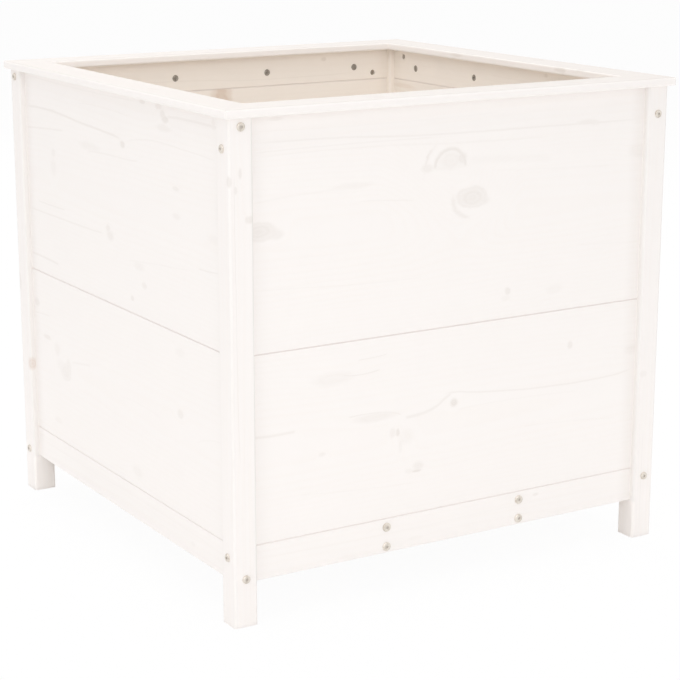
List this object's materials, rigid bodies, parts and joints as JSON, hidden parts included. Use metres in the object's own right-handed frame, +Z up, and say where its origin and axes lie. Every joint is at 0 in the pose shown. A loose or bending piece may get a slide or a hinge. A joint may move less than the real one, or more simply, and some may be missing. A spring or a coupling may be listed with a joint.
{
  "type": "versailles planter",
  "caption": "Square wooden planter box on short legs: bolted corner posts, boarded walls, a flat mitred rim and a slatted floor.",
  "frame": {"origin": "on the floor under the centre of the planter", "axes": "+Z up; +X to the right along the front wall, +Y from the front wall to the back wall"},
  "size_m": [0.825, 0.825, 0.78],
  "materials": {
    "whitewashed_pine": "thin white wash over knotty pine, matt, with faint grain and pale knots",
    "bolt_steel": "zinc-plated furniture bolts and barrel nuts, satin",
    "cam_zinc": "die-cast zinc cam locks and plated cam dowels, dull",
    "dowel_beech": "bare beech",
    "screw_steel": "zinc-plated wood screws"
  },
  "bodies": {
    "root": {"post_front_left": "whitewashed_pine", "post_front_right": "whitewashed_pine", "post_back_right": "whitewashed_pine", "post_back_left": "whitewashed_pine", "bottom_rail_front": "whitewashed_pine", "bottom_rail_right": "whitewashed_pine", "bottom_rail_back": "whitewashed_pine", "bottom_rail_left": "whitewashed_pine", "lower_board_front": "whitewashed_pine", "lower_board_right": "whitewashed_pine", "lower_board_back": "whitewashed_pine", "lower_board_left": "whitewashed_pine", "upper_board_front": "whitewashed_pine", "upper_board_right": "whitewashed_pine", "upper_board_back": "whitewashed_pine", "upper_board_left": "whitewashed_pine", "top_rail_front": "whitewashed_pine", "top_rail_right": "whitewashed_pine", "top_rail_back": "whitewashed_pine", "top_rail_left": "whitewashed_pine", "rim_board_front": "whitewashed_pine", "rim_board_right": "whitewashed_pine", "rim_board_back": "whitewashed_pine", "rim_board_left": "whitewashed_pine", "floor_bearer_left": "whitewashed_pine", "floor_bearer_right": "whitewashed_pine", "floor_cleat_left": "whitewashed_pine", "floor_cleat_right": "whitewashed_pine", "floor_slat_1": "whitewashed_pine", "floor_slat_2": "whitewashed_pine", "floor_slat_3": "whitewashed_pine", "floor_slat_4": "whitewashed_pine", "floor_slat_5": "whitewashed_pine", "floor_slat_6": "whitewashed_pine", "floor_slat_7": "whitewashed_pine", "floor_slat_8": "whitewashed_pine", "post_bolts": "bolt_steel", "bearer_bolts": "bolt_steel", "barrel_nuts": "bolt_steel", "cam_locks": "cam_zinc", "cam_dowels": "cam_zinc", "board_dowels": "dowel_beech", "cleat_screws": "screw_steel", "slat_screws": "screw_steel"}
  },
  "joints": []
}
